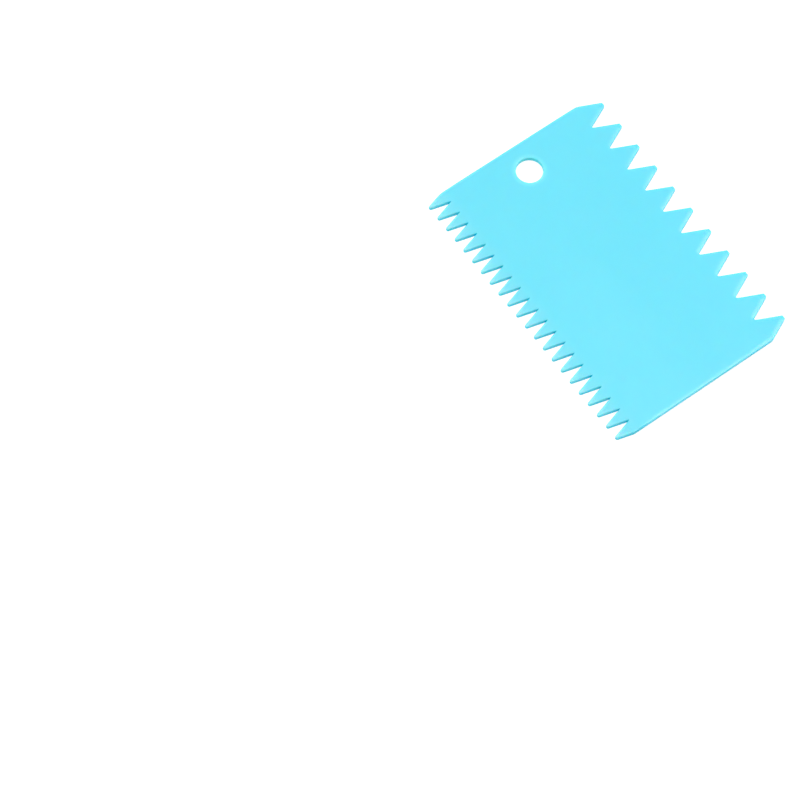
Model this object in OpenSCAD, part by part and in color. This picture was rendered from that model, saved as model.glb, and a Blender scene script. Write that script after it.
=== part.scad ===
// Double-sided cake scraper: one thin moulded plastic sheet with a row of
// coarse teeth along one long edge, a row of fine teeth along the other, and
// a hanging hole near one end.
//
// Frame, in millimetres: the sheet lies flat on z = 0. +X runs along its
// length, away from the hole. +Y points to the coarse teeth. The origin is
// the middle of the overall rectangle, on the underside.

/* [Sheet] */
// Overall length, from one plain end to the other
sheet_length = 109.2; // [108:0.1:114]
// Overall width, across the tips of both rows of teeth
sheet_width = 72.3; // [60:0.1:90]
// Thickness of the plain middle of the sheet
sheet_thickness = 1.7; // [1.4:0.1:3]

/* [Coarse teeth] */
// Number of coarse teeth
coarse_count = 11; // [9:1:11]
// Distance from one coarse tip to the next
coarse_pitch = 10; // [8:0.1:10]
// Included angle of a coarse tooth, in degrees
coarse_angle = 50; // [44:0.5:70]
// Width of the blunt end of a coarse tooth, measured before its corners are rounded
coarse_tip_flat = 1.45; // [0.6:0.05:3]
// Radius of the two corners of a coarse tip
coarse_tip_r = 0.3; // [0.1:0.05:0.8]
// Radius at the bottom of a coarse gap
coarse_root_r = 0.5; // [0.1:0.05:1.5]

/* [Fine teeth] */
// Number of fine teeth
fine_count = 22; // [20:1:22]
// Distance from one fine tip to the next
fine_pitch = 4.99; // [4:0.01:5]
// Included angle of a fine tooth, in degrees
fine_angle = 30.5; // [26:0.5:50]
// Radius of a fine tip
fine_tip_r = 0.68; // [0.2:0.01:0.9]
// Radius at the bottom of a fine gap
fine_root_r = 0.05; // [0.05:0.05:0.5]
// Thickness of the sheet at the fine tips
fine_tip_thickness = 1.25; // [0.5:0.05:1.35]

/* [Corners] */
// Corner radius at the hole end, beside the coarse teeth
corner_coarse_hole_end = 6; // [0.5:0.5:8]
// Corner radius at the far end, beside the coarse teeth
corner_coarse_far_end = 3; // [0.5:0.5:8]
// Corner radius at the hole end, beside the fine teeth
corner_fine_hole_end = 12; // [0.5:0.5:16]
// Corner radius at the far end, beside the fine teeth
corner_fine_far_end = 1; // [0.5:0.5:16]

/* [Hanging hole] */
// Diameter of the hole
hole_d = 9.4; // [3:0.1:12]
// Distance from the plain end to the centre of the hole
hole_inset = 10.65; // [8:0.05:20]

/* [Hidden] */

// half sizes of the overall rectangle
half_l = sheet_length / 2;
half_w = sheet_width / 2;

// most that the edge of a rounded corner may lie inside its true arc
arc_tol = 0.01;

// coarse row: the flanks lean by half the included angle
coarse_half = coarse_angle / 2;
// where the two flanks of a gap would meet if the gap had no radius
coarse_root_y = half_w
    - (coarse_pitch - coarse_tip_flat) / 2 / tan(coarse_half);
// where the two flanks of a tooth would meet if it ran to a sharp point
coarse_apex_y = half_w + coarse_tip_flat / 2 / tan(coarse_half);
coarse_first_x = -(coarse_count - 1) * coarse_pitch / 2;

// fine row: the rounded tips reach the overall width, the sharp points
// that the flanks aim at lie a little beyond it
fine_half = fine_angle / 2;
fine_apex_y = half_w + fine_tip_r * (1 / sin(fine_half) - 1);
fine_root_y = fine_apex_y - fine_pitch / 2 / tan(fine_half);
fine_first_x = -(fine_count - 1) * fine_pitch / 2;

// the outer flank of the last tooth of each row runs on, at the same lean,
// until it meets the plain end of the sheet
coarse_end_y = coarse_apex_y - (half_l + coarse_first_x) / tan(coarse_half);
fine_end_y = fine_apex_y - (half_l + fine_first_x) / tan(fine_half);

hole_x = -half_l + hole_inset;

function unit(v) = v / norm(v);
function xy(p) = [p[0], p[1]];
function turned(v, a) = [v[0] * cos(a) - v[1] * sin(a),
                         v[0] * sin(a) + v[1] * cos(a)];

// The points that round the corner b of an outline that comes from a and
// goes on to c. The radius is b[2], cut down where the edges are too short.
function rounded(a, b, c) =
    let (u = unit(xy(a) - xy(b)),
         v = unit(xy(c) - xy(b)),
         half = acos(u * v) / 2,
         reach = min(b[2] / tan(half),
                     0.49 * norm(xy(a) - xy(b)),
                     0.49 * norm(xy(c) - xy(b))),
         r = reach * tan(half),
         centre = xy(b) + unit(u + v) * (r / sin(half)),
         start = xy(b) + u * reach - centre,
         side = u[0] * v[1] - u[1] * v[0] < 0 ? 1 : -1,
         sweep = 180 - 2 * half,
         step = 2 * acos(1 - arc_tol / max(r, 2 * arc_tol)),
         n = 2 * ceil(sweep / 2 / step))
    [for (k = [0 : n]) centre + turned(start, side * sweep * k / n)];

// Corners of the outline before rounding, anticlockwise, each as
// [x, y, radius]: fine teeth, far end, coarse teeth, hole end.
function fine_row() = [
    for (i = [0 : fine_count - 1], s = [0, 1])
        if (s == 0)
            [fine_first_x + i * fine_pitch, -fine_apex_y, fine_tip_r]
        else if (i < fine_count - 1)
            [fine_first_x + (i + 0.5) * fine_pitch, -fine_root_y, fine_root_r]];

function coarse_row() = [
    for (i = [coarse_count - 1 : -1 : 0], s = [0, 1, 2])
        let (x = coarse_first_x + i * coarse_pitch)
        if (s < 2)
            [x + (0.5 - s) * coarse_tip_flat, half_w, coarse_tip_r]
        else if (i > 0)
            [x - coarse_pitch / 2, coarse_root_y, coarse_root_r]];

sharp = concat(
    fine_row(),
    [[half_l, -fine_end_y, corner_fine_far_end],
     [half_l, coarse_end_y, corner_coarse_far_end]],
    coarse_row(),
    [[-half_l, coarse_end_y, corner_coarse_hole_end],
     [-half_l, -fine_end_y, corner_fine_hole_end]]);

outline = [
    for (i = [0 : len(sharp) - 1])
        each rounded(sharp[(i + len(sharp) - 1) % len(sharp)],
                     sharp[i],
                     sharp[(i + 1) % len(sharp)])];

// height of the top face over the fine teeth, as the distance y from the
// centre line grows from the bottom of the gaps to the tips
function slope_z(y) =
    sheet_thickness
    - (sheet_thickness - fine_tip_thickness)
      * (y - fine_root_y) / (half_w - fine_root_y);

// Cross-section of the room the sheet may fill, seen along its length. The
// sloping line thins the fine teeth towards their tips. Everywhere else the
// room is higher than the sheet.
module thinning() {
    over = half_w + 2;
    rotate([90, 0, 90])
        translate([0, 0, -half_l - 1])
            linear_extrude(height = sheet_length + 2)
                polygon([
                    [-over, -1],
                    [over, -1],
                    [over, slope_z(fine_root_y - 10)],
                    [-fine_root_y + 10, slope_z(fine_root_y - 10)],
                    [-over, slope_z(over)]]);
}

// The whole object, moulded as one piece
module scraper() {
    color([0.44, 0.90, 0.98])
        difference() {
            intersection() {
                linear_extrude(height = sheet_thickness)
                    polygon(outline);
                thinning();
            }
            translate([hole_x, 0, -1])
                cylinder(h = sheet_thickness + 2, d = hole_d, $fn = 96);
        }
}

scraper();
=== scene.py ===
"""The looks of the cake scraper: one moulded sheet of pale cyan plastic with two toothed edges and a hanging hole."""

import math

import bpy
import numpy as np
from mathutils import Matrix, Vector, geometry
from mathutils.bvhtree import BVHTree


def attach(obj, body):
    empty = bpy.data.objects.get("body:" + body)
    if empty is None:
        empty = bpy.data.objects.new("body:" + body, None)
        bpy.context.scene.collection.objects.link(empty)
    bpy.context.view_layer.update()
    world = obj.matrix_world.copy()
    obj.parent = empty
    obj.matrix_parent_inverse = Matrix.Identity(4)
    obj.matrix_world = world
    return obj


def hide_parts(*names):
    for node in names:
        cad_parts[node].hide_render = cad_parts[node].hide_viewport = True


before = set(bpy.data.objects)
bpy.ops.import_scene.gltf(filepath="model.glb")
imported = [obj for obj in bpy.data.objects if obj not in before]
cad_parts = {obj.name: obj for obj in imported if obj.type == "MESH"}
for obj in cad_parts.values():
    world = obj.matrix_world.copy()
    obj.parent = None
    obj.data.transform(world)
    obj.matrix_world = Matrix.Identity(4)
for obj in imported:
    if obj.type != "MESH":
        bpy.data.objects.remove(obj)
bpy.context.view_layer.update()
scene = bpy.context.scene

MM = 0.001

# ---------------------------------------------------------------- camera ----
# The photograph's own camera, solved from the straight flanks of the teeth.
AZ, EL = math.radians(54.40), math.radians(65.92)
TARGET = Vector((-0.266, -85.693, 0.5)) * MM
DISTANCE = 1045.18 * MM

cam_data = bpy.data.cameras.new("camera")
cam_data.sensor_width = 36.0
cam_data.lens = 142.18
cam_data.clip_start, cam_data.clip_end = 0.05, 50.0
camera = bpy.data.objects.new("camera", cam_data)
scene.collection.objects.link(camera)
back = Vector(
    (math.sin(AZ) * math.cos(EL), -math.cos(AZ) * math.cos(EL), math.sin(EL))
)
camera.location = TARGET + back * DISTANCE
camera.rotation_mode = "QUATERNION"
camera.rotation_quaternion = (-back).to_track_quat("-Z", "Y")
scene.camera = camera

# ------------------------------------------------------- the sheet's outline ----
# The same dimensions as the part's source, in millimetres.
LENGTH, WIDTH, THICK = 109.2, 72.3, 1.7
COARSE = dict(n=11, pitch=10.0, angle=50.0, flat=1.45, tip_r=0.30, root_r=0.5)
FINE = dict(n=22, pitch=4.99, angle=30.5, tip_r=0.68, root_r=0.05, tip_t=1.25)
CORNER = dict(coarse_hole=6.0, coarse_far=3.0, fine_hole=12.0, fine_far=1.0)
HOLE_X, HOLE_R = -LENGTH / 2 + 10.65, 4.7

HL, HW = LENGTH / 2, WIDTH / 2
_ca, _fa = math.radians(COARSE["angle"] / 2), math.radians(FINE["angle"] / 2)
COARSE_ROOT = HW - (COARSE["pitch"] - COARSE["flat"]) / 2 / math.tan(_ca)
COARSE_APEX = HW + COARSE["flat"] / 2 / math.tan(_ca)
FINE_APEX = HW + FINE["tip_r"] * (1 / math.sin(_fa) - 1)
FINE_ROOT = FINE_APEX - FINE["pitch"] / 2 / math.tan(_fa)


def corners():
    """The outline's corners before rounding, anticlockwise, as x, y and radius."""
    cx = -(COARSE["n"] - 1) * COARSE["pitch"] / 2
    fx = -(FINE["n"] - 1) * FINE["pitch"] / 2
    c_end = COARSE_APEX - (HL + cx) / math.tan(_ca)
    f_end = FINE_APEX - (HL + fx) / math.tan(_fa)
    v = []
    for i in range(FINE["n"]):
        v.append((fx + i * FINE["pitch"], -FINE_APEX, FINE["tip_r"]))
        if i < FINE["n"] - 1:
            v.append((fx + (i + 0.5) * FINE["pitch"], -FINE_ROOT, FINE["root_r"]))
    v += [(HL, -f_end, CORNER["fine_far"]), (HL, c_end, CORNER["coarse_far"])]
    for i in reversed(range(COARSE["n"])):
        x = cx + i * COARSE["pitch"]
        v.append((x + COARSE["flat"] / 2, HW, COARSE["tip_r"]))
        v.append((x - COARSE["flat"] / 2, HW, COARSE["tip_r"]))
        if i > 0:
            v.append((x - COARSE["pitch"] / 2, COARSE_ROOT, COARSE["root_r"]))
    v += [(-HL, c_end, CORNER["coarse_hole"]), (-HL, -f_end, CORNER["fine_hole"])]
    return v


def outline(step_deg=9.0, longest=1.1):
    """Points round the sheet and the outward normal at each, with every corner a true arc."""
    v = corners()
    pts, nrm = [], []
    for i, (x, y, r) in enumerate(v):
        a, b = np.array(v[i - 1][:2]), np.array((x, y))
        c = np.array(v[(i + 1) % len(v)][:2])
        u, w = a - b, c - b
        lu, lw = np.hypot(*u), np.hypot(*w)
        u, w = u / lu, w / lw
        half = math.acos(float(np.clip(u @ w, -1, 1))) / 2
        reach = min(r / math.tan(half), 0.49 * lu, 0.49 * lw)
        rr = reach * math.tan(half)
        mid = (u + w) / np.hypot(*(u + w))
        centre = b + mid * (rr / math.sin(half))
        start = b + u * reach - centre
        side = 1 if u[0] * w[1] - u[1] * w[0] < 0 else -1
        sweep = math.pi - 2 * half
        n = 2 * math.ceil(max(4, math.degrees(sweep) / step_deg, sweep * rr / 0.6) / 2)
        for k in range(n + 1):
            t = side * sweep * k / n
            d = np.array(
                (
                    start[0] * math.cos(t) - start[1] * math.sin(t),
                    start[0] * math.sin(t) + start[1] * math.cos(t),
                )
            )
            pts.append(centre + d)
            nrm.append(side * d / rr)
    # long straight flanks get points of their own
    out_p, out_n = [], []
    for i in range(len(pts)):
        p, q = pts[i], pts[(i + 1) % len(pts)]
        out_p.append(p)
        out_n.append(nrm[i])
        gap = np.hypot(*(q - p))
        extra = int(gap // longest)
        for k in range(1, extra + 1):
            s = k / (extra + 1)
            out_p.append(p + (q - p) * s)
            m = nrm[i] * (1 - s) + nrm[(i + 1) % len(pts)] * s
            out_n.append(m / np.hypot(*m))
    return np.array(out_p), np.array(out_n)


def top_height(y):
    """Height of the upper face: level, but sloping down over the fine teeth, with the start of the slope eased over 3 mm."""
    ease = 1.5
    slope = (THICK - FINE["tip_t"]) / (HW - FINE_ROOT)
    t = max(-y - (FINE_ROOT - ease), 0.0)
    return THICK - (slope * t * t / (4 * ease) if t < 2 * ease else slope * (t - ease))


# ------------------------------------------------------------------- mesh ----
# Towards its edges the upper face falls away a little, as a thin moulding does,
# and then turns down in a small radius: width and depth of the fall, radius.
# The lower edge is only broken.
EDGE_BROAD, EDGE_FINE, EDGE_HOLE = (1.20, 0.12, 0.14), (0.70, 0.05, 0.40), (1.10, 0.10, 0.24)
EDGE_COARSE = (1.60, 0.20, 0.14)
LOW_R = 0.06


def build_sheet():
    edge_p, edge_n = outline()
    ang = np.linspace(0, 2 * math.pi, 120, endpoint=False)
    hole_p = np.c_[HOLE_X + HOLE_R * np.cos(ang), HOLE_R * np.sin(ang)]
    hole_n = -np.c_[np.cos(ang), np.sin(ang)]  # out of the plastic, into the hole

    # upright strips along both edges give the exact distance of any point from them
    pts, quads = [], []
    for loop in (edge_p, hole_p):
        base, n = len(pts), len(loop)
        for x, y in loop:
            pts += [(x, y, -1.0), (x, y, 1.0)]
        for i in range(n):
            j = (i + 1) % n
            quads.append((base + 2 * i, base + 2 * j, base + 2 * j + 1, base + 2 * i + 1))
    strips = BVHTree.FromPolygons([Vector(p) for p in pts], quads)

    def depth(x, y):
        return strips.find_nearest(Vector((x, y, 0.0)))[3]

    def edge_shape(x, y):
        """Width and depth of the fall and radius of the edge nearest to a point."""
        if math.hypot(x - HOLE_X, y) < HOLE_R + 2.0:
            return EDGE_HOLE
        if y > 0:
            a, b, t = EDGE_BROAD, EDGE_COARSE, min(max((y - 20.0) / 6.0, 0.0), 1.0)
        else:
            a, b, t = EDGE_FINE, EDGE_BROAD, min(max((y + 27.5) / 6.0, 0.0), 1.0)
        t = t * t * (3 - 2 * t)
        return tuple(p + (q - p) * t for p, q in zip(a, b))

    def top_z(x, y, d):
        """Height of the upper surface at a distance d from the outline."""
        wide, deep, radius = edge_shape(x, y)
        fall = deep * (1 - min(max(d / wide, 0.0), 1.0)) ** 2
        s = 1 - min(max(d / radius, 0.0), 1.0)
        return top_height(y) - fall - radius * (1 - math.sqrt(max(1 - s * s, 0.0)))

    verts, faces = [], []

    # the wall: from the broken lower edge up to the start of the rounding
    def wall(points, normals, flip):
        rows = []
        for k in range(4):
            a = math.pi / 2 * k / 3
            rows.append((LOW_R * (1 - math.sin(a)), LOW_R * (1 - math.cos(a)), 0.0))
        rows += [(0.0, LOW_R, 0.5), (0.0, LOW_R, 1.0)]
        rings = []
        n = len(points)
        z_edge = np.array([top_z(x, y, 0.0) for x, y in points])
        for inset, low, share in rows:
            p = points - normals * inset
            z = low + (z_edge - LOW_R) * share
            rings.append(list(range(len(verts), len(verts) + n)))
            verts.extend((float(a), float(b), float(c)) for (a, b), c in zip(p, z))
        for r0, r1 in zip(rings, rings[1:]):
            for i in range(n):
                j = (i + 1) % n
                q = (r0[i], r0[j], r1[j], r1[i])
                faces.append(q[::-1] if flip else q)
        return rings[0], rings[-1]

    low_o, top_o = wall(edge_p, edge_n, False)
    low_h, top_h = wall(hole_p, hole_n, True)

    def inside(q, loop):
        x, y = q[:, 0][:, None], q[:, 1][:, None]
        x0, y0 = loop[:, 0][None], loop[:, 1][None]
        x1, y1 = np.roll(loop[:, 0], -1)[None], np.roll(loop[:, 1], -1)[None]
        cross = (y0 > y) != (y1 > y)
        with np.errstate(divide="ignore", invalid="ignore"):
            xi = x0 + (y - y0) * (x1 - x0) / (y1 - y0)
        return (np.sum(cross & (x < xi), axis=1) % 2) == 1

    def in_plastic(q, lo, lh):
        out = np.zeros(len(q), bool)
        for s in range(0, len(q), 2000):
            part = q[s : s + 2000]
            out[s : s + 2000] = inside(part, lo) & ~inside(part, lh)
        return out

    def fill(outer, hole, height, up, pitch, clear, extra, extra_edges):
        """Triangles between the outer loop and the hole, through the extra points and a hexagonal grid."""
        lo = np.array([verts[i][:2] for i in outer])
        lh = np.array([verts[i][:2] for i in hole])
        g = []
        for r in range(int(WIDTH / (pitch * 0.866)) + 2):
            for c in range(int(LENGTH / pitch) + 2):
                g.append(
                    (-HL + (0.5 * pitch if r % 2 else 0.0) + c * pitch, -HW + r * pitch * 0.866)
                )
        g = np.array(g)
        g = g[in_plastic(g, lo, lh)]
        g = np.array([p for p in g if depth(*p) > clear])
        no, nh = len(lo), len(lh)
        coords = [Vector(p) for p in lo] + [Vector(p) for p in lh]
        coords += [Vector(p) for p in extra] + [Vector(p) for p in g]
        edges = [(i, (i + 1) % no) for i in range(no)]
        edges += [(no + i, no + (i + 1) % nh) for i in range(nh)]
        edges += [(no + nh + i, no + nh + j) for i, j in extra_edges]
        out = geometry.delaunay_2d_cdt(coords, edges, [], 0, 1e-5, True)
        v_out, f_out, v_orig = out[0], out[2], out[3]
        flat = np.array([v[:] for v in v_out])
        mid = np.array([flat[list(f)].mean(0) for f in f_out])
        kept = in_plastic(mid, lo, lh)
        index = []
        for v, orig in zip(v_out, v_orig):
            first = min(orig) if orig else no + nh
            if first < no:
                index.append(outer[first])
            elif first < no + nh:
                index.append(hole[first - no])
            else:
                index.append(len(verts))
                verts.append((v.x, v.y, height(v.x, v.y)))
        for f, k in zip(f_out, kept):
            if not k:
                continue
            tri = [index[i] for i in f]
            (x0, y0, _), (x1, y1, _), (x2, y2, _) = (verts[i] for i in tri)
            ccw = (x1 - x0) * (y2 - y0) - (x2 - x0) * (y1 - y0) > 0
            faces.append(tuple(tri if ccw == up else tri[::-1]))

    # rows of points along the edges, left out where two edges meet in a ridge
    rows, row_edges = [], []
    for points, normals in ((edge_p, edge_n), (hole_p, hole_n)):
        shape = np.array([edge_shape(*p) for p in points])
        wide, radius = shape[:, 0], shape[:, 2]
        insets = [radius * (1 - math.cos(math.radians(a))) for a in (22.5, 45, 67.5, 90)]
        insets += [radius + (wide - radius) * f for f in (0.22, 0.45, 0.70, 1.0)]
        for inset in insets:
            last = first = None
            for p, d in zip(points - normals * inset[:, None], inset):
                ok = depth(*p) > d * 0.995 - 1e-6
                if ok:
                    rows.append(tuple(p))
                    here = len(rows) - 1
                    if last is not None:
                        row_edges.append((last, here))
                    if first is None:
                        first = here
                    last = here
                else:
                    last = None
            if last is not None and first is not None and last != first:
                if math.dist(rows[last], rows[first]) < 1.5:
                    row_edges.append((last, first))
    fill(
        top_o, top_h, lambda x, y: top_z(x, y, depth(x, y)), True,
        1.1, EDGE_COARSE[0] + 0.3, rows, row_edges,
    )
    fill(low_o, low_h, lambda x, y: 0.0, False, 2.2, 1.2, [], [])

    me = bpy.data.meshes.new("scraper_sheet")
    me.from_pydata([(x * MM, y * MM, z * MM) for x, y, z in verts], [], faces)
    me.validate()
    me.update()
    for p in me.polygons:
        p.use_smooth = True
    ob = bpy.data.objects.new("scraper_sheet", me)
    scene.collection.objects.link(ob)
    return ob


sheet = build_sheet()


# --------------------------------------------------------------- material ----
class Nodes:
    """Short calls for building a node tree."""

    def __init__(self, tree):
        self.t = tree

    def add(self, kind, **values):
        n = self.t.nodes.new(kind)
        for k, v in values.items():
            setattr(n, k, v)
        return n

    def link(self, a, b):
        self.t.links.new(a, b)

    def math(self, op, a, b=None, c=None, clamp=False):
        n = self.add("ShaderNodeMath", operation=op, use_clamp=clamp)
        for i, v in enumerate((a, b, c)):
            if v is None:
                continue
            if isinstance(v, (int, float)):
                n.inputs[i].default_value = v
            else:
                self.link(v, n.inputs[i])
        return n.outputs[0]

    def span(self, value, a, b, c=0.0, d=1.0, kind="SMOOTHSTEP"):
        n = self.add("ShaderNodeMapRange", interpolation_type=kind)
        self.link(value, n.inputs["Value"])
        for name, v in zip(("From Min", "From Max", "To Min", "To Max"), (a, b, c, d)):
            n.inputs[name].default_value = v
        return n.outputs["Result"]

    def noise(self, coords, scale, detail=2.0, rough=0.5, stretch=None, lac=2.0):
        if stretch:
            m = self.add("ShaderNodeMapping")
            m.inputs["Scale"].default_value = stretch
            self.link(coords, m.inputs["Vector"])
            coords = m.outputs[0]
        n = self.add("ShaderNodeTexNoise")
        n.inputs["Scale"].default_value = scale
        n.inputs["Detail"].default_value = detail
        n.inputs["Roughness"].default_value = rough
        n.inputs["Lacunarity"].default_value = lac
        self.link(coords, n.inputs["Vector"])
        return n.outputs["Fac"]

    def mix(self, fac, a, b, blend="MIX"):
        n = self.add("ShaderNodeMix", data_type="RGBA", blend_type=blend)
        if isinstance(fac, (int, float)):
            n.inputs["Factor"].default_value = fac
        else:
            self.link(fac, n.inputs["Factor"])
        for socket, v in ((6, a), (7, b)):
            if isinstance(v, tuple):
                n.inputs[socket].default_value = (*v, 1.0)
            else:
                self.link(v, n.inputs[socket])
        return n.outputs[2]


def plastic():
    m = bpy.data.materials.new("cyan_plastic")
    m.use_nodes = True
    t = m.node_tree
    t.nodes.clear()
    k = Nodes(t)
    out = k.add("ShaderNodeOutputMaterial")
    b = k.add("ShaderNodeBsdfPrincipled")
    k.link(b.outputs[0], out.inputs[0])
    where = k.add("ShaderNodeTexCoord").outputs["Object"]
    xyz = k.add("ShaderNodeSeparateXYZ")
    k.link(where, xyz.inputs[0])
    x, y = xyz.outputs[0], xyz.outputs[1]

    # colour: flow of the melt from the far end, in two very close tones
    flow = k.noise(where, 26.0, 3.0, 0.55, stretch=(0.45, 1.0, 1.0))
    cloud = k.noise(where, 120.0, 4.0, 0.6)
    tone = k.math("ADD", k.math("MULTIPLY", flow, 0.75), k.math("MULTIPLY", cloud, 0.25))
    tone = k.span(tone, 0.38, 0.62)
    base = k.mix(tone, (0.130, 0.655, 0.770), (0.139, 0.665, 0.780))
    # the tint is a little stronger towards the coarse teeth
    side = k.span(y, -0.030, 0.034)
    base = k.mix(k.math("MULTIPLY", side, 0.5), base, (0.114, 0.640, 0.772))
    # a paler ring round the hole: painted light, a painted highlight round the hole's rim
    dx = k.math("SUBTRACT", x, HOLE_X * MM)
    r = k.math("SQRT", k.math("ADD", k.math("MULTIPLY", dx, dx), k.math("MULTIPLY", y, y)))
    hole_glow_and_wall_shade = k.span(r, 0.0052, 0.0068, 1.0, 0.0)
    base = k.mix(k.math("MULTIPLY", hole_glow_and_wall_shade, 0.75), base, (0.184, 0.728, 0.806))
    # painted light: the fine teeth are painted paler, standing for the pale ground's light showing through the
    # thinner plastic
    fine_teeth_glow_and_shade = k.span(k.math("MULTIPLY", y, -1.0), 0.0255, 0.0355)
    base = k.mix(k.math("MULTIPLY", fine_teeth_glow_and_shade, 0.6), base, (0.260, 0.715, 0.778))
    # painted light: the tips of the fine teeth are painted paler still
    fine_tip_glow = k.span(k.math("MULTIPLY", y, -1.0), 0.0318, 0.0362)
    base = k.mix(k.math("MULTIPLY", fine_tip_glow, 0.45), base, (0.360, 0.740, 0.778))
    # painted shade: the upright walls are painted a darker, deeper teal than the top face, darker still along the
    # fine teeth, lighter towards their tips and greener on the hole's wall
    nz = k.add("ShaderNodeSeparateXYZ")
    k.link(k.add("ShaderNodeNewGeometry").outputs["Normal"], nz.inputs[0])
    painted_wall_shade_mask = k.span(k.math("ABSOLUTE", nz.outputs[2]), 0.25, 0.9, 1.0, 0.0)
    deep = k.mix(fine_teeth_glow_and_shade, (0.003, 0.585, 0.74), (0.003, 0.56, 0.67))
    deep = k.mix(k.math("MULTIPLY", fine_tip_glow, 0.8), deep, (0.02, 0.62, 0.72))
    deep = k.mix(hole_glow_and_wall_shade, deep, (0.025, 0.63, 0.69))
    base = k.mix(painted_wall_shade_mask, base, deep)
    k.link(base, b.inputs["Base Color"])

    # gloss: smooth mould steel, a little uneven, with faint polishing lines
    grain = k.noise(where, 900.0, 3.0, 0.6)
    lines = k.noise(where, 1.0, 2.0, 0.6, stretch=(60.0, 2600.0, 60.0))
    patch = k.noise(where, 60.0, 3.0, 0.5)
    rough = k.math("ADD", k.math("MULTIPLY", grain, 0.10), k.math("MULTIPLY", lines, 0.06))
    rough = k.math("ADD", rough, k.math("MULTIPLY", patch, 0.12))
    k.link(k.math("ADD", rough, 0.08), b.inputs["Roughness"])

    b.inputs["IOR"].default_value = 1.49
    b.inputs["Specular IOR Level"].default_value = 0.5
    b.inputs["Subsurface Weight"].default_value = 1.0
    b.inputs["Subsurface Radius"].default_value = (0.35, 1.0, 1.3)
    b.inputs["Subsurface Scale"].default_value = 0.001

    # surface: orange peel, polishing lines and the slow waves of a thin sheet
    peel = k.noise(where, 1400.0, 2.0, 0.5)
    slow = k.noise(where, 38.0, 2.0, 0.5)
    height = k.math("ADD", k.math("MULTIPLY", peel, 0.0020), k.math("MULTIPLY", lines, 0.0012))
    height = k.math("ADD", height, k.math("MULTIPLY", slow, 0.020))
    bump = k.add("ShaderNodeBump")
    bump.inputs["Strength"].default_value = 1.0
    bump.inputs["Distance"].default_value = 0.001
    k.link(height, bump.inputs["Height"])
    k.link(bump.outputs[0], b.inputs["Normal"])
    return m


sheet.data.materials.append(plastic())
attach(sheet, "root")
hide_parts("scraper")


# ------------------------------------------------------- floor and lights ----
def floor_material():
    m = bpy.data.materials.new("pale_floor")
    m.use_nodes = True
    b = m.node_tree.nodes["Principled BSDF"]
    b.inputs["Base Color"].default_value = (0.33, 0.33, 0.33, 1.0)
    b.inputs["Roughness"].default_value = 0.9
    b.inputs["Specular IOR Level"].default_value = 0.1
    b.inputs["Emission Color"].default_value = (1.0, 1.0, 1.0, 1.0)
    b.inputs["Emission Strength"].default_value = 0.80
    return m


me = bpy.data.meshes.new("floor")
me.from_pydata([(-4, -4, 0), (4, -4, 0), (4, 4, 0), (-4, 4, 0)], [], [(0, 1, 2, 3)])
floor = bpy.data.objects.new("floor", me)
floor.location.z = -0.00002
scene.collection.objects.link(floor)
me.materials.append(floor_material())


def area(name, place, size, power, aim=(0, 0, 0), colour=(1, 1, 1)):
    d = bpy.data.lights.new(name, "AREA")
    d.shape = "RECTANGLE"
    d.size, d.size_y = size
    d.energy = power
    d.color = colour
    o = bpy.data.objects.new(name, d)
    scene.collection.objects.link(o)
    o.location = place
    o.rotation_mode = "QUATERNION"
    o.rotation_quaternion = (Vector(aim) - Vector(place)).to_track_quat("-Z", "Y")
    o.visible_camera = False
    return o


area("key", (0.200, 0.746, 1.736), (1.0, 1.0), 14.8)

# an even white room, but with the unlit side of the studio behind the camera
FRONT_AZ, FRONT_EL = math.radians(-15.0), math.radians(20.0)
world = bpy.data.worlds.new("studio")
scene.world = world
world.use_nodes = True
w = Nodes(world.node_tree)
sky = world.node_tree.nodes["Background"]
towards = w.add("ShaderNodeVectorMath", operation="DOT_PRODUCT")
w.link(w.add("ShaderNodeTexCoord").outputs["Generated"], towards.inputs[0])
towards.inputs[1].default_value = (
    math.cos(FRONT_AZ) * math.cos(FRONT_EL), math.sin(FRONT_AZ) * math.cos(FRONT_EL), math.sin(FRONT_EL),
)
dark = w.span(towards.outputs["Value"], 0.35, 0.85)
w.link(w.mix(dark, (1.0, 1.0, 1.0), (0.03, 0.03, 0.03)), sky.inputs[0])
sky.inputs[1].default_value = 1.25

scene.cycles.use_denoising = True
scene.view_settings.view_transform = "Standard"
scene.view_settings.look = "None"
scene.view_settings.exposure = 0.0
scene.view_settings.gamma = 1.0
